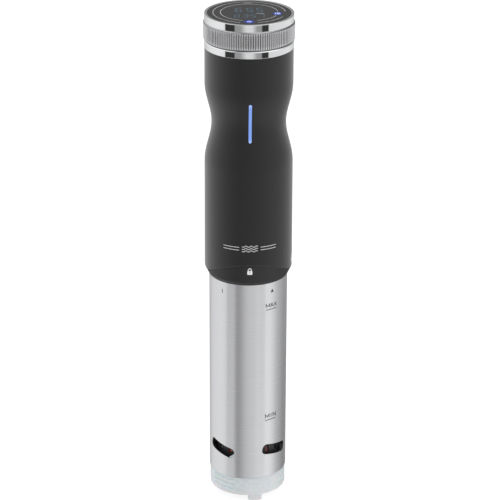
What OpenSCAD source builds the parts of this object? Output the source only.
// Immersion circulator for sous vide cooking, as an assembly of its separate pieces.
// Frame: +Z up along the sleeve's axis, the front (padlock and light bar) faces -Y, +X is to the
// right of someone facing it. The origin is the centre of the end cap's base boss, in the plane of
// its feet. Azimuths are in degrees from the front, -Y, towards +X.

/* [Steel sleeve] */
// Outer diameter of the sleeve
sleeve_d = 60; // [52:1:72]
// Length that shows between the end cap and the collar
sleeve_len = 165.5; // [135:0.5:200]
// Thickness of the steel
sleeve_wall = 0.8; // [0.6:0.1:1.2]
// Length that goes up inside the collar
sleeve_insert = 10; // [9:0.5:13]
// Chord of one water slot
slot_len = 24; // [16:0.2:26]
// Height of one water slot
slot_h = 8.6; // [6:0.1:11]
// Slope of a water slot, down to the right
slot_slope = 11; // [0:1:15]
// Centre of the slots above the sleeve's lower edge
slot_rise = 22.2; // [18:0.1:26]
// Azimuth of the first water slot, with the sleeve between its two stops
slot_azimuth = 43.8; // [36:0.2:54]

/* [End cap] */
// Height of the feet
foot_h = 5.3; // [4:0.1:8]
// Width of one foot
foot_w = 10.1; // [8:0.1:13]
// Azimuth of the first foot
foot_azimuth = 10.6; // [0:1:40]
// Height of the cap's visible skirt
cap_h = 15.2; // [13:0.1:19]
// Wall of the cap
cap_wall = 1.6; // [1.2:0.1:2.2]
// Azimuth of the first group of moulded louvres
louvre_azimuth = -42; // [-60:1:-30]
// Depth of a louvre's groove
louvre_depth = 0.6; // [0.4:0.1:1]

/* [Grip] */
// How far the grip stands out from the sleeve
grip_step = 3.5; // [3:0.1:5]
// Height from the grip's side edge to its top
grip_len = 176.5; // [165:0.5:215]
// Wall of the grip shell
grip_wall = 2.2; // [1.8:0.1:2.6]
// How much the grip narrows from bottom to top
grip_draft = 0.4; // [0:0.1:0.8]
// Depth of the waist
waist_depth = 5.2; // [3:0.1:6]
// Height of the waist's centre above the grip's side edge
waist_rise = 118; // [112:0.5:125]
// Half of the waist's height
waist_half = 31; // [28:0.5:36]
// Length of the light bar
light_len = 31; // [24:0.5:36]
// Width of the light bar
light_w = 2.2; // [1.6:0.1:3.2]

/* [Collar] */
// Height of the collar's lip that shows under the grip at the sides
lip_h = 3.7; // [3:0.1:5]
// Rise of the arch cut in the grip's front edge
arch_rise = 13.8; // [10:0.1:16]
// Radius of that arch
arch_r = 49; // [46:0.5:60]
// Degrees that the sleeve turns from rest to its locked stop
twist_to_lock = 35.5; // [30:0.5:42]
// Degrees that the sleeve turns from rest to its open stop
twist_to_open = 42.5; // [30:0.5:44]

/* [Head] */
// Height of the trim band
band_h = 5.5; // [4.5:0.1:7]
// Height of the dial ring
dial_h = 13.7; // [12:0.1:18]
// How far the dial stands out from the grip
dial_step = 0.5; // [0.2:0.1:1.2]
// Ribs round the dial
dial_ribs = 120; // [90:2:140]
// Height of the bezel
bezel_h = 5.7; // [4:0.1:7]
// Thickness of the display glass
glass_t = 2; // [1.6:0.1:2.2]

/* [Motor and pump] */
// Radius of the motor can
motor_r = 14; // [12:0.5:16]
// Height of the motor can
motor_h = 38; // [32:0.5:44]
// Diameter of the drive shaft
shaft_d = 4; // [3:0.1:5]
// Diameter of the heater's tube
heater_d = 6.5; // [5:0.1:7]
// Blades on the impeller
blades = 4; // [3:1:5]

/* [Cord entry] */
// Bore of the cord gland
gland_bore = 7.2; // [6:0.1:8]

/* [Pot clip] */
// Gap between the clip's pad and the sleeve, for the pot's wall
clip_gap = 6; // [5:0.1:8]
// Width of the clip's lever
clip_w = 15; // [12:0.5:18]
// Length of the jaw below the pivot
jaw_len = 94; // [80:0.5:110]

/* [Hidden] */
$fn = 96;
fit = 0.1;      // gap between fixed pieces that slip together
run = 0.05;     // radial gap of a running fit
cut = 1;        // how far a cutting solid runs past the face it cuts

// Levels, from the feet up
z_sleeve0 = foot_h + cap_h;
z_collar0 = z_sleeve0 + sleeve_len;
z_sleeve1 = z_collar0 + sleeve_insert;
seat_t = 2;
z_web0 = z_sleeve1 + fit + seat_t + fit;
web_t = 2.8;
z_web1 = z_web0 + web_t;
chamber_h = 13;  // between the collar's web and the chassis plate
z_plate0 = z_web1 + chamber_h;
plate_t = 3;
z_plate1 = z_plate0 + plate_t;
z_grip0 = z_collar0 + lip_h;
z_grip1 = z_grip0 + grip_len;
z_band1 = z_grip1 + band_h;
dial_gap = 0.5;   // between the trim band and the dial, filled by the glide ring
z_dial0 = z_band1 + dial_gap;
z_dial1 = z_dial0 + dial_h;
z_bezel0 = z_dial1 + 0.2;
z_top = z_bezel0 + bezel_h;
head_insert = 8.2;
z_head0 = z_grip1 - head_insert;
z_waist = z_grip0 + waist_rise;
z_slot = z_sleeve0 + slot_rise;

// Radii
sleeve_r = sleeve_d / 2;
bore_r = sleeve_r - sleeve_wall;
grip_r = sleeve_r + grip_step;
grip_edge_in = 1.6;
grip_edge_h = 3.6;
band_r = grip_r - 0.3;
dial_r = grip_r + dial_step;
bezel_r = dial_r - 0.8;
bezel_rim = 2.05;
glass_r = bezel_r - bezel_rim - run;
head_r = glass_r - 1.5;
head_wall = 2.4;
neck_r = grip_r - grip_wall - fit;
neck_wall = 2.7;
spigot_r = sleeve_r - 2.5;
spigot_wall = 3;
well_r = spigot_r - spigot_wall;
band_front_r = grip_r - 1.2;
lip_top_r = grip_r - grip_edge_in;
lip_low_r = sleeve_r + 0.5;
shaft_r = shaft_d / 2;
heater_r = heater_d / 2;

// The grip's outline: a slight draft, less a waist shaped as one turn of a cosine
function bell(t) = abs(t) < 1 ? (1 + cos(180 * t)) / 2 : 0;
function grip_r_at(z) = grip_r - grip_draft * (z - z_grip0) / grip_len
    - waist_depth * bell((z - z_waist) / waist_half);
function edge_in(z) = z > z_grip0 + grip_edge_h ? 0
    : grip_edge_in * (1 - sqrt(1 - pow((z_grip0 + grip_edge_h - z) / grip_edge_h, 2)));
edge_steps = 5;
waist_steps = 26;
grip_levels = concat(
    [for (i = [0 : edge_steps]) z_grip0 + grip_edge_h * (1 - cos(90 * i / edge_steps))],
    [for (i = [0 : waist_steps]) z_waist + waist_half * (2 * i / waist_steps - 1)],
    [z_grip1]);

core_r = grip_r_at(z_waist) - grip_wall - 0.5;  // what fits through the waist
rail_w = 8;
rail_t = 2.4;
rail_x = sqrt(pow(core_r, 2) - pow(rail_w / 2, 2)) - rail_t;
board_t = 1.6;
board_y = rail_w / 2;
board_half = sqrt(pow(core_r, 2) - pow(board_y + board_t, 2)) - 0.4;
z_board0 = z_plate1 + motor_h + 7;
z_board1 = z_head0 - plate_t - 10;
z_gland = z_grip1 - 21;
gland_flange_r = 6.5;
gland_flange_t = 2.2;
gland_seat_y = grip_r_at(z_gland) - 1.1;
gland_in = 6;

// The bayonet: three lugs inside the sleeve's top, and grooves in the collar's spigot
lugs = 3;
lug_half = 6;
lug_h = 2.5;
z_lug0 = z_collar0 + 3.5;
lug_r = spigot_r - 1.4;
groove_r = lug_r - 0.2;
groove_play = 0.3;
stop_play = 0.5;

// The pump and what hangs in the water
z_floor0 = z_collar0 + 2;
floor_t = 3;
z_floor1 = z_floor0 + floor_t;
boss_r = 8;
bush_r = 4;
bush_drop = 3;   // how far the upper bush and its boss hang below the bulkhead
bush_h = 8;
lower_bush_h = 5.5;
heater_x = well_r - 9;
heater_y = heater_r + 3.25;
z_heater = z_sleeve0 + 55;
probe_r = 2;
probe_y = well_r - 7.5;
electrode_r = 1.5;
electrode_x = 6;
rod_r = 2;
rod_ring = well_r - 4.5;
rod_azimuths = [45, 180, 315];
guide_r = lug_r - 0.5;
guide_wall = 1.4;
guide_plate = 2.5;
z_guide0 = z_slot - 11;
z_guide1 = z_slot + 13;
impeller_r = guide_r - guide_wall - 2.5;
z_impeller0 = z_slot - 6;
impeller_h = 11;
z_shaft0 = foot_h + 3.2;
z_coupling0 = z_web1 + 3;
coupling_h = 7.5;
z_coupling1 = z_coupling0 + coupling_h;
z_shaft_join = z_coupling0 + coupling_h / 2;
motor_shaft_r = 1.6;

// The clip
clip_z = z_plate1 + 11;
clip_y = grip_r + 8;
clip_pin_r = 2;
clip_barrel_r = 4.5;
ear_t = 3;
ear_gap = 0.3;
clip_base_t = 3;
clip_half_h = 12;
clip_screw_off = 6;
jaw_t = 3.2;
pad_t = 2.5;
pad_face = sleeve_r + clip_gap;
z_jaw0 = clip_z - jaw_len;

// Colours
soft_black = [0.12, 0.12, 0.12];
plain_black = [0.16, 0.16, 0.165];
chrome = [0.86, 0.87, 0.88];
steel = [0.74, 0.74, 0.75];
milky = [0.85, 0.86, 0.87, 0.85];
board_green = [0.09, 0.3, 0.2];
grey = [0.5, 0.5, 0.52];
brass = [0.78, 0.62, 0.3];

// Helpers
module tube(r_out, r_in, h) {
    difference() {
        cylinder(r = r_out, h = h);
        translate([0, 0, -cut]) cylinder(r = r_in, h = h + 2 * cut);
    }
}

// Places its children at a radius on an azimuth, with their own -Y facing outwards
module on_azimuth(a, r) {
    rotate([0, 0, a]) translate([0, -r, 0]) children();
}

// Turns a solid that points up so that it points to the rear, +Y
module to_rear(y, z) {
    translate([0, y, z]) rotate([-90, 0, 0]) children();
}

// Turns a solid that points up so that it points to the right, +X
module to_right(x, y, z) {
    translate([x, y, z]) rotate([0, 90, 0]) children();
}

module box(x0, x1, y0, y1, z0, z1) {
    translate([x0, y0, z0]) cube([x1 - x0, y1 - y0, z1 - z0]);
}

// A screw that points down, with the underside of its head at z = 0
module screw(r, len, head_r, head_h) {
    translate([0, 0, -len]) cylinder(r = r, h = len);
    difference() {
        cylinder(r = head_r, h = head_h);
        translate([0, 0, head_h / 2]) cylinder(r = head_r * 0.45, h = head_h, $fn = 6);
    }
}

// A wedge of a full circle, for cutting sectors: from azimuth a0 to a1, under 180 degrees
module sector(a0, a1, r, h) {
    far = (r + cut) / cos((a1 - a0) / 4);
    mid = (a0 + a1) / 2;
    linear_extrude(h) polygon(concat([[0, 0]],
        [for (a = [a0, mid, a1]) [far * sin(a), -far * cos(a)]]));
}

// Head

module display_glass() color([0.03, 0.03, 0.03])
    translate([0, 0, z_top - glass_t]) cylinder(r = glass_r, h = glass_t);

gasket_t = 0.4;
bezel_lip = 3;
z_bezel_seat = z_top - glass_t - gasket_t;

module glass_gasket() color(plain_black)
    translate([0, 0, z_bezel_seat]) tube(glass_r - fit, glass_r - bezel_lip + 0.3, gasket_t);

module bezel() color(chrome) {
    rim_in = bezel_r - bezel_rim;
    edge = 0.5;
    rotate_extrude() polygon([
        [glass_r - bezel_lip, z_bezel0], [bezel_r, z_bezel0], [bezel_r, z_top - edge],
        [bezel_r - edge, z_top], [rim_in, z_top], [rim_in, z_bezel_seat],
        [glass_r - bezel_lip, z_bezel_seat]]);
}

z_display0 = z_bezel0 - 2.4;
module display_board() color(board_green)
    translate([0, 0, z_display0]) cylinder(r = head_r - head_wall - 0.3, h = board_t);

digits_w = 34;
digits_d = 22;
module digit_module() color([0.06, 0.06, 0.06])
    box(-digits_w / 2, digits_w / 2, -digits_d / 2, digits_d / 2,
        z_display0 + board_t, z_top - glass_t - 0.2);

touch_ring = glass_r - 8.5;
touch_r = 2.5;
module touch_springs() color(brass)
    for (a = [0, 90]) on_azimuth(a, touch_ring)
        translate([0, 0, z_display0 + board_t])
            tube(touch_r, touch_r - 0.7, z_top - glass_t - 0.1 - z_display0 - board_t);

buzzer_r = 5;
buzzer_h = 4;
module buzzer() color(plain_black)
    translate([-11, 8, z_display0 - buzzer_h]) tube(buzzer_r, 1, buzzer_h);

ledge_t = 2;
head_flange_in = head_r - head_wall - 6.2;
head_screw_ring = head_r - head_wall - 3.1;
head_screw_r = 1.2;
head_flange_t = 2.2;
module head_frame() color(plain_black) difference() {
    union() {
        translate([0, 0, z_head0]) tube(head_r, head_r - head_wall, z_bezel0 - z_head0);
        translate([0, 0, z_head0]) tube(head_r - head_wall / 2, head_flange_in, head_flange_t);
        translate([0, 0, z_display0 - ledge_t])
            tube(head_r - head_wall / 2, head_r - head_wall - 3, ledge_t);
    }
    for (a = [60, 180, 300]) on_azimuth(a, head_screw_ring)
        translate([0, 0, z_head0 - cut]) cylinder(r = head_screw_r + fit, h = head_flange_t + 2 * cut);
}

module head_screws() color(grey)
    for (a = [60, 180, 300]) on_azimuth(a, head_screw_ring)
        translate([0, 0, z_head0 + head_flange_t]) screw(head_screw_r, head_flange_t + 2.6, 2.3, 1.5);

rib_depth = 0.45;
dial_edge = 1;
magnet_r = 1.3;
magnet_h = 2.4;
magnets = 12;
magnet_ring = (dial_r + head_r) / 2;
module dial_blank() {
    step = 360 / dial_ribs;
    intersection() {
        translate([0, 0, z_dial0]) linear_extrude(dial_h) polygon([for (i = [0 : dial_ribs - 1])
            for (k = [0, 1]) let (r = dial_r - k * rib_depth, a = (i + k / 2) * step)
                [r * cos(a), r * sin(a)]]);
        rotate_extrude() polygon([[0, z_dial0], [dial_r - dial_edge, z_dial0],
            [dial_r + cut, z_dial0 + dial_edge + cut], [dial_r + cut, z_dial1 - dial_edge - cut],
            [dial_r - dial_edge, z_dial1], [0, z_dial1]]);
    }
}

module dial_ring() color(chrome) difference() {
    dial_blank();
    translate([0, 0, z_dial0 - cut]) cylinder(r = head_r + run, h = dial_h + 2 * cut);
    for (i = [0 : magnets - 1]) on_azimuth(i * 360 / magnets, magnet_ring)
        translate([0, 0, z_dial0 - cut]) cylinder(r = magnet_r, h = magnet_h + cut);
}

module dial_magnets() color(grey)
    for (i = [0 : magnets - 1]) on_azimuth(i * 360 / magnets, magnet_ring)
        translate([0, 0, z_dial0]) cylinder(r = magnet_r, h = magnet_h);

module dial_glide_ring() color(plain_black)
    translate([0, 0, z_band1]) tube(band_r - 1.2, head_r + fit, dial_gap - 0.2);

sensor_w = 11;
module dial_sensor_board() color(board_green) {
    y = sqrt(pow(head_r - head_wall, 2) - pow(sensor_w / 2, 2)) - 0.2;
    box(-sensor_w / 2, sensor_w / 2, -y, -y + 1.2, z_dial0 - 2, z_display0 - ledge_t - 1);
}

module trim_band() color(chrome) {
    edge = 0.6;
    rotate_extrude() polygon([[head_r + fit, z_grip1], [band_r, z_grip1], [band_r, z_band1 - edge],
        [band_r - edge, z_band1], [head_r + fit, z_band1]]);
}

// Grip

z_light0 = z_waist + 7.6 - light_len / 2;
light_depth = 3;
module light_slot(extra) {
    box(-light_w / 2 - extra, light_w / 2 + extra, -grip_r - cut, 0,
        z_light0 - extra, z_light0 + light_len + extra);
}

module arch(radius, top, back) {
    to_rear(-grip_r - cut, top - radius) cylinder(r = radius, h = grip_r + cut - back);
}

z_arch = z_grip0 + arch_rise;
module grip_shell() color(soft_black) difference() {
    rotate_extrude() polygon(concat(
        [for (z = grip_levels) [grip_r_at(z) - edge_in(z), z]],
        [for (i = [len(grip_levels) - 1 : -1 : 0])
            let (z = grip_levels[i]) [grip_r_at(z) - grip_wall, z]]));
    arch(arch_r, z_arch, 0);
    light_slot(run);
    to_rear(0, z_gland) cylinder(r = gland_body_r + fit, h = grip_r + cut);
    to_rear(gland_seat_y, z_gland) cylinder(r = gland_flange_r + fit, h = 5);
    for (s = [-1, 1]) to_rear(neck_r - 5, clip_z + s * clip_screw_off)
        cylinder(r = clip_screw_r + fit, h = 10);
}

module light_bar() color([0.45, 0.62, 1]) intersection() {
    levels = [for (z = grip_levels) if (z > z_waist - waist_half && z < z_waist + waist_half) z];
    rotate_extrude() polygon(concat([for (z = levels) [grip_r_at(z) - run, z]],
        [for (i = [len(levels) - 1 : -1 : 0]) [grip_r_at(levels[i]) - light_depth, levels[i]]]));
    light_slot(0);
}

module light_board() color(board_green)
    box(-3.5, 3.5, -core_r + 0.6, -core_r + 1.8, z_light0 - 3, z_light0 + light_len + 1);

module chassis() color(plain_black) difference() {
    union() {
        translate([0, 0, z_plate0]) cylinder(r = neck_r - 0.2, h = plate_t);
        for (s = [-1, 1]) box(s * (rail_x + rail_t / 2) - rail_t / 2, s * (rail_x + rail_t / 2) + rail_t / 2,
            -rail_w / 2, rail_w / 2, z_plate0 + plate_t / 2, z_head0 - plate_t / 2);
        translate([0, 0, z_head0 - plate_t])
            tube(grip_r_at(z_head0) - grip_wall - 0.6, head_flange_in - 1, plate_t);
    }
    translate([0, 0, z_plate0 - cut]) cylinder(r = motor_boss_r + fit, h = plate_t + 2 * cut);
    for (s = [-1, 1]) translate([s * motor_screw_x, 0, z_plate0 - cut])
        cylinder(r = motor_screw_r + fit, h = plate_t + 2 * cut);
    for (a = [45 : 90 : 315]) on_azimuth(a, chassis_screw_ring)
        translate([0, 0, z_plate0 - cut]) cylinder(r = chassis_screw_r + fit, h = plate_t + 2 * cut);
    for (a = [60, 180, 300]) on_azimuth(a, head_screw_ring)
        translate([0, 0, z_head0 - plate_t - cut]) cylinder(r = head_screw_r, h = plate_t + 2 * cut);
    for (x = [-1, 1], z = board_screw_levels) to_rear(rail_w / 2 - 5, z) translate([x * board_screw_x, 0, 0])
        cylinder(r = board_screw_r, h = 6);
}

board_screw_r = 1;
board_screw_x = rail_x + 0.9;
board_screw_levels = [z_board0 + 6, z_board1 - 6];
module power_board() color(board_green) difference() {
    box(-board_half, board_half, board_y, board_y + board_t, z_board0, z_board1);
    for (x = [-1, 1], z = board_screw_levels) to_rear(board_y - cut, z) translate([x * board_screw_x, 0, 0])
        cylinder(r = board_screw_r + fit, h = board_t + 2 * cut);
}

module board_screws() color(grey)
    for (x = [-1, 1], z = board_screw_levels) translate([x * board_screw_x, board_y + board_t, z])
        rotate([-90, 0, 0]) screw(board_screw_r, board_t + 4, 1.4, 1);

part_y = board_y + board_t;
// Half the width that is free inside the waist at a depth behind the board
function room(depth) = sqrt(pow(core_r, 2) - pow(part_y + depth, 2)) - 0.5;
fin_t = 1.5;
module heat_sink() color([0.75, 0.76, 0.78]) {
    half = rail_x - 2;
    fins = 5;
    box(-half, half, board_y - 3, board_y, z_board0 + 2, z_board0 + 26);
    for (i = [0 : fins - 1]) let (x = (i / (fins - 1) - 0.5) * (2 * half - fin_t))
        box(x - fin_t / 2, x + fin_t / 2, board_y - 11, board_y - 2, z_board0 + 2, z_board0 + 26);
}

relay_d = 11;
module relay() color([0.15, 0.3, 0.6])
    box(-room(relay_d), -room(relay_d) + 16, part_y, part_y + relay_d, z_board0 + 32, z_board0 + 52);

module filter_capacitor() color([0.2, 0.22, 0.3])
    to_rear(part_y, z_board0 + 13) translate([-8, 0, 0]) cylinder(r = 6, h = 13);

transformer_d = 13;
module transformer() color([0.75, 0.65, 0.25]) {
    x1 = room(transformer_d);
    box(x1 - 17, x1, part_y, part_y + transformer_d, z_board0 + 32, z_board0 + 54);
    box(x1 - 13, x1 - 4, part_y + 3, part_y + transformer_d - 3, z_board0 + 54, z_board0 + 56);
}

module fuse() color([0.9, 0.9, 0.85])
    to_right(4, part_y + 3, z_board0 + 12) cylinder(r = 2.6, h = 14);

module terminal_block() color([0.2, 0.5, 0.3]) difference() {
    box(-9, 9, part_y, part_y + 9, z_board1 - 12, z_board1 - 2);
    for (x = [-6, 0, 6]) translate([x, part_y + 4.5, z_board1 - 8]) cylinder(r = 1.6, h = 10);
}

gland_body_r = 5.2;
module cord_gland() color(plain_black) difference() {
    union() {
        to_rear(gland_seat_y - gland_in, z_gland) cylinder(r = gland_body_r, h = gland_in);
        to_rear(gland_seat_y, z_gland) cylinder(r = gland_flange_r, h = gland_flange_t);
    }
    to_rear(gland_seat_y - gland_in - cut, z_gland)
        cylinder(r = gland_bore / 2, h = gland_in + gland_flange_t + 2 * cut);
}

// Motor

motor_boss_r = 4;
motor_boss_h = 4;
motor_screw_r = 1.4;
motor_screw_x = 9;
motor_screw_in = 5;
module motor_can() color(steel) difference() {
    union() {
        translate([0, 0, z_plate1]) cylinder(r = motor_r, h = motor_h);
        translate([0, 0, z_plate1 - motor_boss_h]) cylinder(r = motor_boss_r, h = motor_boss_h + cut);
    }
    translate([0, 0, z_plate1 - motor_boss_h - cut]) cylinder(r = motor_shaft_r + run, h = motor_h);
    for (s = [-1, 1]) translate([s * motor_screw_x, 0, z_plate1 - cut])
        cylinder(r = motor_screw_r, h = motor_screw_in + cut);
}

module motor_screws() color(grey)
    for (s = [-1, 1]) translate([s * motor_screw_x, 0, z_plate0]) rotate([180, 0, 0])
        screw(motor_screw_r, plate_t + motor_screw_in - 0.5, 2.6, 1.6);

module motor_shaft() color(steel)
    translate([0, 0, z_shaft_join + 0.1])
        cylinder(r = motor_shaft_r, h = z_plate1 + motor_h - 8 - z_shaft_join);

module shaft_coupling() color(brass) difference() {
    translate([0, 0, z_coupling0]) cylinder(r = 5, h = coupling_h);
    translate([0, 0, z_coupling0 - cut]) cylinder(r = shaft_r, h = coupling_h / 2 + cut);
    translate([0, 0, z_shaft_join]) cylinder(r = motor_shaft_r, h = coupling_h);
}

// Collar and bulkhead

chassis_screw_r = 1.1;
chassis_screw_ring = neck_r - neck_wall / 2;
second_arch_r = 95;
second_arch_drop = 9.7;
arch_gap = 0.35;
module collar_outside() {
    z_lip = z_grip0 - fit;
    rotate_extrude() polygon([[spigot_r - 1, z_collar0], [lip_low_r, z_collar0],
        [lip_top_r, z_lip - 0.8], [lip_top_r, z_lip], [neck_r, z_lip], [neck_r, z_plate0],
        [spigot_r - 1, z_plate0]]);
    difference() {
        intersection() {
            translate([0, 0, z_lip]) cylinder(r = band_front_r, h = 2 * arch_rise);
            arch(arch_r - arch_gap, z_arch - arch_gap, fit);
        }
        intersection() {
            translate([0, 0, z_lip - cut]) tube(band_front_r + cut, lip_top_r, 2 * arch_rise);
            arch(second_arch_r, z_arch - second_arch_drop, -cut);
        }
    }
}

module bayonet_grooves() {
    for (i = [0 : lugs - 1]) rotate([0, 0, i * 360 / lugs]) {
        translate([0, 0, z_lug0 - groove_play]) intersection() {
            sector(-twist_to_lock - lug_half - stop_play, twist_to_open + lug_half + stop_play,
                spigot_r + 2 * cut, lug_h + 2 * groove_play);
            tube(spigot_r + cut, groove_r, lug_h + 2 * groove_play);
        }
        translate([0, 0, z_collar0 - 4]) intersection() {
            sector(-lug_half - 1, twist_to_open + lug_half + stop_play / 2, spigot_r + 2 * cut,
                z_lug0 + groove_play - z_collar0 + 4.5);
            tube(spigot_r + cut, groove_r, z_lug0 + groove_play - z_collar0 + 4.5);
        }
    }
}

module lock_collar() color(plain_black) {
    z_spigot0 = z_collar0 - 2;
    difference() {
        union() {
            difference() {
                collar_outside();
                translate([0, 0, z_collar0 - cut])
                    cylinder(r = sleeve_r + fit, h = z_web0 - z_collar0 + cut);
                translate([0, 0, z_web1]) cylinder(r = neck_r - neck_wall, h = chamber_h + cut);
            }
            translate([0, 0, z_spigot0]) tube(spigot_r, well_r, z_web1 - z_spigot0);
        }
        bayonet_grooves();
        translate([0, 0, z_web0 - cut]) cylinder(r = well_r, h = web_t + 2 * cut);
        for (a = [45 : 90 : 315]) on_azimuth(a, chassis_screw_ring)
            translate([0, 0, z_plate0 - 7]) cylinder(r = chassis_screw_r, h = 7 + cut);
        for (a = [0 : 90 : 270]) on_azimuth(a, bulkhead_screw_ring)
            translate([0, 0, z_web1 - 2.4]) cylinder(r = bulkhead_screw_r, h = 2.4 + cut);
    }
}

module chassis_screws() color(grey)
    for (a = [45 : 90 : 315]) on_azimuth(a, chassis_screw_ring)
        translate([0, 0, z_plate1]) screw(chassis_screw_r, plate_t + 6.5, 1.3, 1.4);

bulkhead_flange_r = neck_r - neck_wall - 0.3;
bulkhead_flange_t = 2;
bulkhead_wall = 2.4;
bulkhead_screw_r = 0.9;
bulkhead_screw_ring = (well_r + bulkhead_flange_r) / 2;
seal_r = 1;
z_seal = z_web1 - 4.5;
lip_seal_r = 6;
lip_seal_pocket = 4;
lip_seal_h = 3.6;
rod_in = 2;      // depth of the rods' sockets
z_boss1 = z_web1 + 1;
heater_places = [for (x = [-1, 1], y = [-1, 1]) [x * heater_x, y * heater_y]];
electrode_places = [[-electrode_x, probe_y], [electrode_x, probe_y - 1]];
module bulkhead() color([0.25, 0.25, 0.27]) difference() {
    union() {
        translate([0, 0, z_floor0]) cylinder(r = well_r - fit, h = floor_t);
        translate([0, 0, z_floor0]) tube(well_r - fit, well_r - fit - bulkhead_wall,
            z_web1 + bulkhead_flange_t - z_floor0);
        translate([0, 0, z_web1])
            tube(bulkhead_flange_r, well_r - fit - bulkhead_wall / 2, bulkhead_flange_t);
        translate([0, 0, z_floor0 - bush_drop]) cylinder(r = boss_r, h = z_boss1 - z_floor0 + bush_drop);
    }
    translate([0, 0, z_floor0 - bush_drop - cut]) cylinder(r = bush_r, h = bush_h + cut);
    translate([0, 0, z_floor0 - cut]) cylinder(r = shaft_r + 0.3, h = z_boss1 - z_floor0);
    translate([0, 0, z_boss1 - lip_seal_pocket]) cylinder(r = lip_seal_r, h = lip_seal_pocket + cut);
    for (p = heater_places) translate([p[0], p[1], z_floor0 - cut])
        cylinder(r = heater_r + run, h = floor_t + 2 * cut);
    translate([0, -probe_y, z_floor0 - cut]) cylinder(r = probe_r + run, h = floor_t + 2 * cut);
    for (p = electrode_places) translate([p[0], p[1], z_floor0 - cut])
        cylinder(r = electrode_r + run, h = floor_t + 2 * cut);
    for (a = rod_azimuths) on_azimuth(a, rod_ring)
        translate([0, 0, z_floor0 - cut]) cylinder(r = rod_r, h = rod_in + cut);
    for (a = [0 : 90 : 270]) on_azimuth(a, bulkhead_screw_ring)
        translate([0, 0, z_web1 - cut]) cylinder(r = bulkhead_screw_r + fit, h = bulkhead_flange_t + 2 * cut);
    translate([0, 0, z_seal - seal_r - 0.1])
        tube(well_r + cut, well_r - 2 * seal_r - 0.05, 2 * seal_r + 0.2);
}

module bulkhead_seal() color([0.7, 0.25, 0.2])
    translate([0, 0, z_seal]) rotate_extrude() translate([well_r - seal_r, 0]) circle(r = seal_r, $fn = 32);

module bulkhead_screws() color(grey)
    for (a = [0 : 90 : 270]) on_azimuth(a, bulkhead_screw_ring)
        translate([0, 0, z_web1 + bulkhead_flange_t]) screw(bulkhead_screw_r, bulkhead_flange_t + 2, 1.5, 1);

module shaft_seal() color([0.7, 0.25, 0.2])
    translate([0, 0, z_boss1 - lip_seal_pocket]) tube(lip_seal_r, shaft_r + run, lip_seal_h);

module shaft_bush() color(brass)
    translate([0, 0, z_floor0 - bush_drop]) tube(bush_r, shaft_r + run, bush_h);

// Pump

module drive_shaft() color(steel)
    translate([0, 0, z_shaft0]) cylinder(r = shaft_r, h = z_shaft_join - 0.1 - z_shaft0);

module impeller() color([0.2, 0.2, 0.2]) difference() {
    union() {
        translate([0, 0, z_impeller0]) cylinder(r = 5, h = impeller_h);
        intersection() {
            translate([0, 0, z_impeller0]) cylinder(r = impeller_r, h = impeller_h);
            for (i = [0 : blades - 1]) rotate([0, 0, i * 360 / blades])
                translate([0, 0, z_impeller0 + impeller_h / 2]) rotate([38, 0, 0])
                    box(3, impeller_r + cut, -8, 8, -0.8, 0.8);
        }
    }
    translate([0, 0, z_impeller0 - cut]) cylinder(r = shaft_r, h = impeller_h + 2 * cut);
}

module impeller_clip() color(steel)
    translate([0, 0, z_impeller0 - 0.9]) tube(shaft_r + 2, shaft_r, 0.8);

module heater() color([0.55, 0.55, 0.56])
    for (s = [-1, 1]) translate([s * heater_x, 0, 0]) {
        for (y = [-1, 1]) translate([0, y * heater_y, z_heater])
            cylinder(r = heater_r, h = z_floor1 + 7 - z_heater);
        translate([0, 0, z_heater]) rotate([0, 90, 0]) rotate([0, 0, 90])
            rotate_extrude(angle = -180) translate([heater_y, 0]) circle(r = heater_r);
    }

module heater_nuts() color(brass)
    for (p = heater_places) translate([p[0], p[1], z_floor1]) difference() {
        cylinder(r = heater_r + 1.7, h = 3.5, $fn = 6);
        translate([0, 0, -cut]) cylinder(r = heater_r + run, h = 5);
    }

module temperature_probe() color(steel)
    translate([0, -probe_y, z_heater - 5]) {
        cylinder(r = probe_r, h = z_floor1 + 5 - z_heater + 5);
        sphere(r = probe_r);
    }

module level_electrodes() color(steel) {
    translate([electrode_places[0][0], electrode_places[0][1], z_heater - 2])
        cylinder(r = electrode_r, h = z_floor1 + 5 - z_heater + 2);
    translate([electrode_places[1][0], electrode_places[1][1], z_collar0 - 26])
        cylinder(r = electrode_r, h = z_floor1 + 5 - z_collar0 + 26);
}

module support_rods() color(steel)
    for (a = rod_azimuths) on_azimuth(a, rod_ring)
        translate([0, 0, z_guide1]) cylinder(r = rod_r, h = z_floor0 + rod_in - 0.1 - z_guide1);

module flow_guide() color([0.1, 0.1, 0.1]) {
    windows = 16;
    difference() {
        union() {
            translate([0, 0, z_guide0]) tube(guide_r, guide_r - guide_wall, z_guide1 - z_guide0);
            translate([0, 0, z_guide1 - guide_plate]) cylinder(r = guide_r, h = guide_plate);
        }
        for (i = [0 : windows - 1]) rotate([0, 0, (i + 0.5) * 360 / windows])
            box(-1.7, 1.7, -guide_r - cut, -guide_r + guide_wall + cut, z_slot - 4, z_slot + 6);
        translate([0, 0, z_guide1 - guide_plate - cut]) cylinder(r = 9, h = guide_plate + 2 * cut);
    }
}

// Sleeve

module sleeve_seat_ring() color([0.3, 0.3, 0.32])
    translate([0, 0, z_sleeve1 + fit]) tube(sleeve_r, spigot_r + 0.4, seat_t);

module rounded_bar(w, h, r, depth) {
    linear_extrude(depth) {
        square([w - 2 * r, h], center = true);
        square([w, h - 2 * r], center = true);
        for (x = [-1, 1], y = [-1, 1]) translate([x * (w / 2 - r), y * (h / 2 - r)]) circle(r = r);
    }
}

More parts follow.
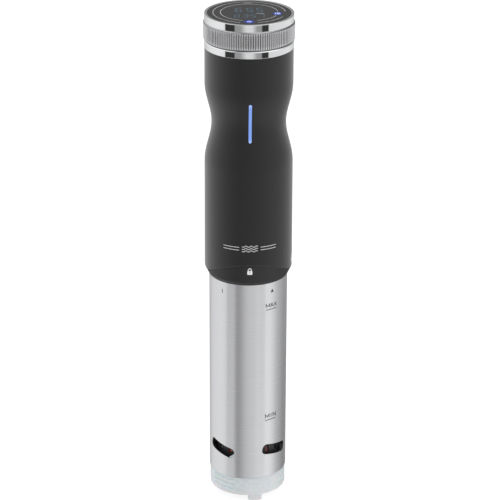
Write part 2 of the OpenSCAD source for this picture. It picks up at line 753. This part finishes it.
slot_corner = 3.4;
module steel_sleeve() color(steel) difference() {
    translate([0, 0, z_sleeve0]) tube(sleeve_r, bore_r, z_sleeve1 - z_sleeve0);
    for (k = [0 : 3]) on_azimuth(slot_azimuth + 90 * k, sleeve_r + cut) translate([0, 0, z_slot])
        rotate([-90, 0, 0]) rotate([0, 0, slot_slope]) rounded_bar(slot_len, slot_h, slot_corner, sleeve_r / 2);
}

module bayonet_ring() color(plain_black) {
    z0 = z_collar0 + 0.5;
    translate([0, 0, z0]) tube(bore_r, spigot_r + fit, z_sleeve1 - z0);
    for (i = [0 : lugs - 1]) rotate([0, 0, i * 360 / lugs]) translate([0, 0, z_lug0]) intersection() {
        sector(-lug_half, lug_half, bore_r, lug_h);
        tube(spigot_r + 0.6, lug_r, lug_h);
    }
}

// End cap

spigot_h = 6.5;
tab_t = 1.4;
tab_turn = 25;  // from the middle of a louvre group to the next latch tab
tab_r = bore_r - 0.4;
tab_z1 = z_slot - 0.6;
tab_half = 8.5;
tab_slope_h = 5.9;
louvre_half = 19.5;
louvre_h = 2.3;
louvre_first = 3.3;   // from the base plate's underside to the lowest louvre
louvre_pitch = 3.7;
base_boss_r = 7;
base_boss_h = 7;
base_floor = 1.5;
base_slots = 12;
module end_cap() color(milky) {
    skirt_r = sleeve_r - 0.5;
    plate = 1.8;
    z_plate = foot_h;
    difference() {
        union() {
            translate([0, 0, z_plate]) tube(skirt_r, skirt_r - cap_wall, cap_h);
            translate([0, 0, z_plate]) cylinder(r = skirt_r - cap_wall / 2, h = plate);
            translate([0, 0, z_sleeve0 - 2]) tube(bore_r - run, skirt_r - cap_wall, spigot_h + 2);
            cylinder(r = base_boss_r, h = foot_h + base_boss_h);
            for (k = [0 : 2]) intersection() {
                tube(tab_r, tab_r - tab_t, tab_z1);
                rotate([0, 0, louvre_azimuth + tab_turn + 120 * k]) rotate([90, 0, 0])
                    linear_extrude(sleeve_r) polygon([[-tab_half, z_sleeve0], [tab_half, z_sleeve0],
                        [tab_half - 2.5, tab_z1], [-0.5, tab_z1], [0.5 - tab_half, tab_z1 - tab_slope_h]]);
            }
            for (k = [0 : 2]) rotate([0, 0, foot_azimuth + 120 * k]) intersection() {
                box(-foot_w / 2, foot_w / 2, -skirt_r - cut, -skirt_r + 5, 0, foot_h + 0.5);
                cylinder(r = skirt_r - 0.6, h = foot_h + cut);
            }
        }
        translate([0, 0, foot_h + base_floor]) cylinder(r = bush_r, h = foot_h + cap_h);
        for (k = [0 : 2], j = [0 : 2]) rotate([0, 0, louvre_azimuth + 120 * k])
            translate([0, 0, z_plate + louvre_first + j * louvre_pitch]) intersection() {
                sector(-louvre_half, louvre_half, skirt_r + 2 * cut, louvre_h);
                tube(skirt_r + cut, skirt_r - louvre_depth, louvre_h);
            }
        for (i = [0 : base_slots - 1]) rotate([0, 0, (i + 0.5) * 360 / base_slots])
            box(-1.6, 1.6, -skirt_r + 7, -base_boss_r - 3, z_plate - cut, z_plate + plate + cut);
    }
}

module lower_bush() color(brass)
    translate([0, 0, foot_h + base_floor]) tube(bush_r, shaft_r + run, lower_bush_h);

// Pot clip

clip_screw_r = 1.4;
module clip_bracket() color(plain_black) {
    base_half = clip_w / 2 + ear_gap + ear_t;
    difference() {
        union() {
            box(-base_half, base_half, grip_r - 6, grip_r + clip_base_t,
                clip_z - clip_half_h, clip_z + clip_half_h);
            for (s = [-1, 1]) translate([s * (clip_w / 2 + ear_gap + ear_t / 2) - ear_t / 2, 0, 0]) {
                to_right(0, clip_y, clip_z) cylinder(r = clip_barrel_r + 0.5, h = ear_t);
                box(0, ear_t, grip_r, clip_y, clip_z - clip_barrel_r - 0.5, clip_z + clip_barrel_r + 0.5);
            }
        }
        translate([0, 0, clip_z - clip_half_h - cut])
            cylinder(r = grip_r + run, h = 2 * clip_half_h + 2 * cut);
        to_right(-base_half - cut, clip_y, clip_z) cylinder(r = clip_pin_r, h = 2 * base_half + 2 * cut);
        for (s = [-1, 1]) to_rear(grip_r - 2, clip_z + s * clip_screw_off)
            cylinder(r = clip_screw_r, h = clip_base_t + 1.5);
    }
}

thumb_len = 36;
thumb_lean = 6;
lever_clear = 1.6; // from the barrel to the arm's outer face, which it runs into
lead_in = 4;       // how far the jaw's tip turns out, so that it rides over a pot's rim
lead_in_h = 9;
bend_h = 24;       // height over which the arm steps out behind the pin
bend_low = 34;     // from the pin down to the foot of that bend
lever_steps = 52;
lever_back = clip_y + clip_barrel_r + lever_clear;
arm_mid = pad_face + pad_t + jaw_t / 2;
z_thumb1 = clip_z + thumb_len;
function share(t) = min(max(t, 0), 1);
function ease(t) = pow(share(t), 2) * (3 - 2 * share(t));
// The lever's middle line: straight at the jaw, stepped out at the pin, curved out at both ends
function lever_mid(z) = arm_mid
    + (lever_back - jaw_t / 2 - arm_mid) * ease((z - clip_z + bend_low) / bend_h)
    + thumb_lean * pow(share((z - clip_z - clip_barrel_r) / (thumb_len - clip_barrel_r)), 1.6)
    + lead_in * pow(share((z_jaw0 + lead_in_h - z) / lead_in_h), 2);

module clip_lever() color(plain_black) difference() {
    levels = [for (i = [0 : lever_steps]) z_jaw0 + i * (z_thumb1 - z_jaw0) / lever_steps];
    union() {
        to_right(-clip_w / 2, clip_y, clip_z) cylinder(r = clip_barrel_r, h = clip_w);
        to_right(-clip_w / 2, 0, 0) rotate([0, 0, 90]) linear_extrude(clip_w) polygon([
            [clip_y, clip_z - clip_barrel_r + 0.2], [lever_back - 1, clip_z - 2 * clip_barrel_r],
            [lever_back - 1, clip_z + 2 * clip_barrel_r], [clip_y, clip_z + clip_barrel_r - 0.2]]);
        to_right(-clip_w / 2, 0, 0) rotate([0, 0, 90]) linear_extrude(clip_w) polygon(concat(
            [for (z = levels) [lever_mid(z) - jaw_t / 2, z]],
            [for (i = [lever_steps : -1 : 0]) [lever_mid(levels[i]) + jaw_t / 2, levels[i]]]));
    }
    to_right(-clip_w, clip_y, clip_z) cylinder(r = clip_pin_r + run, h = 2 * clip_w);
    to_right(-spring_half, clip_y, clip_z) cylinder(r = clip_barrel_r + 0.3, h = 2 * spring_half);
    box(-spring_half, spring_half, clip_y - clip_barrel_r - cut, clip_y,
        clip_z - clip_barrel_r - 3, clip_z + clip_barrel_r + 3);
}

pad_rise = 10;
pad_len = 32;
pad_ribs = 5;
pad_rib_pitch = 5.6;
module clip_pad() color([0.3, 0.3, 0.32]) difference() {
    box(-clip_w / 2 + 1.5, clip_w / 2 - 1.5, pad_face, pad_face + pad_t,
        z_jaw0 + pad_rise, z_jaw0 + pad_rise + pad_len);
    for (i = [0 : pad_ribs - 1]) let (z = z_jaw0 + pad_rise + 4 + i * pad_rib_pitch)
        box(-clip_w, clip_w, pad_face - cut, pad_face + 0.8, z, z + 2);
}

module clip_pin() color(steel) {
    half = clip_w / 2 + ear_gap + ear_t;
    to_right(-half, clip_y, clip_z) cylinder(r = clip_pin_r, h = 2 * half);
}

spring_half = 4.2;
wire_r = 0.55;
spring_coils = 6;
module clip_spring() color(grey)
    for (i = [0 : spring_coils - 1]) let (pitch = 1.25)
        to_right((i - (spring_coils - 1) / 2) * pitch, clip_y, clip_z)
            rotate_extrude() translate([clip_pin_r + wire_r + 0.15, 0]) circle(r = wire_r, $fn = 32);

module clip_screws() color(grey)
    for (s = [-1, 1]) translate([0, neck_r - 0.3, clip_z + s * clip_screw_off])
        rotate([90, 0, 0]) screw(clip_screw_r, grip_wall + 2.6, 2.5, 1.8);

display_glass();
glass_gasket();
bezel();
display_board();
digit_module();
touch_springs();
buzzer();
head_frame();
dial_ring();
dial_magnets();
dial_glide_ring();
dial_sensor_board();
trim_band();
head_screws();
grip_shell();
light_bar();
light_board();
chassis();
power_board();
heat_sink();
relay();
filter_capacitor();
transformer();
fuse();
terminal_block();
board_screws();
cord_gland();
motor_can();
motor_screws();
motor_shaft();
shaft_coupling();
lock_collar();
chassis_screws();
bulkhead();
bulkhead_seal();
bulkhead_screws();
shaft_seal();
shaft_bush();
drive_shaft();
impeller();
impeller_clip();
heater();
heater_nuts();
temperature_probe();
level_electrodes();
support_rods();
flow_guide();
sleeve_seat_ring();
steel_sleeve();
bayonet_ring();
end_cap();
lower_bush();
clip_bracket();
clip_lever();
clip_pad();
clip_pin();
clip_spring();
clip_screws();
